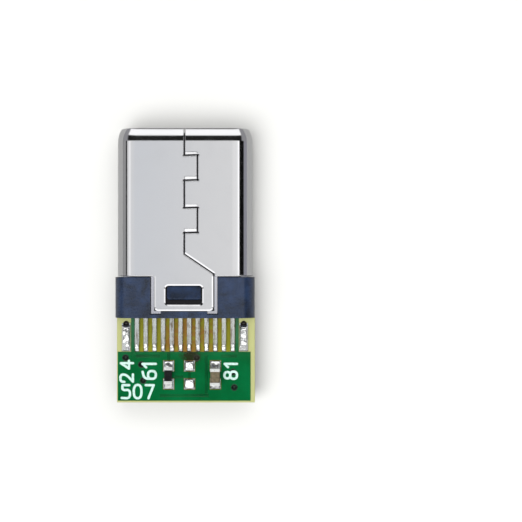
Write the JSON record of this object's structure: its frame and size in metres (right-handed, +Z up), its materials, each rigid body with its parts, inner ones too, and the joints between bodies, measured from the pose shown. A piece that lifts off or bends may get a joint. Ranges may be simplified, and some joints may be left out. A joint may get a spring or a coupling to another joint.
{
  "type": "usb-c plug",
  "caption": "Reversible plug with a rolled metal shell, a dark latched collar and contacts in two rows, soldered to a small green wire board.",
  "frame": {"origin": "centre of the mouth, half way between the shell's flat faces and its round sides", "axes": "+Y out of the mouth, the way the plug goes in; +X to the board's right edge with the seam side up; +Z up, out of the seam side"},
  "size_m": [0.0086, 0.0166, 0.0024],
  "materials": {
    "shell_nickel": "bright nickel plate on stainless steel sheet",
    "housing_black": "satin moulded plastic",
    "carrier_navy": "glossy moulded plastic",
    "latch_steel": "stamped, nickel plated",
    "ground_steel": "stamped, nickel plated",
    "contact_tin": "copper alloy, bright tin plate on the tails",
    "board_glass_epoxy": "glass cloth in epoxy, sawn edges",
    "solder_mask_green": "glossy lacquer",
    "land_copper": "copper foil, tinned",
    "pad_tin": "copper foil, levelled tin",
    "resistor_ceramic": "black overcoat",
    "capacitor_ceramic": "fired ceramic",
    "chip_cap_tin": "matt tin",
    "solder": "reflowed tin solder"
  },
  "bodies": {
    "root": {"capacitor_body": "capacitor_ceramic", "capacitor_caps": "chip_cap_tin", "capacitor_solder": "solder", "circuit_board": "board_glass_epoxy", "component_lands": "land_copper", "front_housing": "housing_black", "latch_frame": "latch_steel", "latch_solder_left": "solder", "latch_solder_right": "solder", "lower_carrier": "carrier_navy", "lower_contact_01": "contact_tin", "lower_contact_02": "contact_tin", "lower_contact_03": "contact_tin", "lower_contact_04": "contact_tin", "lower_contact_05": "contact_tin", "lower_contact_06": "contact_tin", "lower_contact_07": "contact_tin", "lower_contact_08": "contact_tin", "lower_contact_09": "contact_tin", "lower_contact_10": "contact_tin", "lower_contact_11": "contact_tin", "lower_contact_12": "contact_tin", "lower_ground_plate": "ground_steel", "lower_lands": "land_copper", "lower_mask": "solder_mask_green", "lower_tail_solder": "solder", "outer_shell": "shell_nickel", "resistor_body": "resistor_ceramic", "resistor_caps": "chip_cap_tin", "resistor_solder": "solder", "spare_solder": "solder", "upper_carrier": "carrier_navy", "upper_contact_01": "contact_tin", "upper_contact_02": "contact_tin", "upper_contact_03": "contact_tin", "upper_contact_04": "contact_tin", "upper_contact_05": "contact_tin", "upper_contact_06": "contact_tin", "upper_contact_07": "contact_tin", "upper_contact_08": "contact_tin", "upper_contact_09": "contact_tin", "upper_contact_10": "contact_tin", "upper_contact_11": "contact_tin", "upper_contact_12": "contact_tin", "upper_ground_plate": "ground_steel", "upper_lands": "land_copper", "upper_mask": "solder_mask_green", "upper_tail_solder": "solder", "wire_pad_1": "pad_tin", "wire_pad_2": "pad_tin", "wire_pad_3": "pad_tin", "wire_pad_4": "pad_tin"}
  },
  "joints": []
}
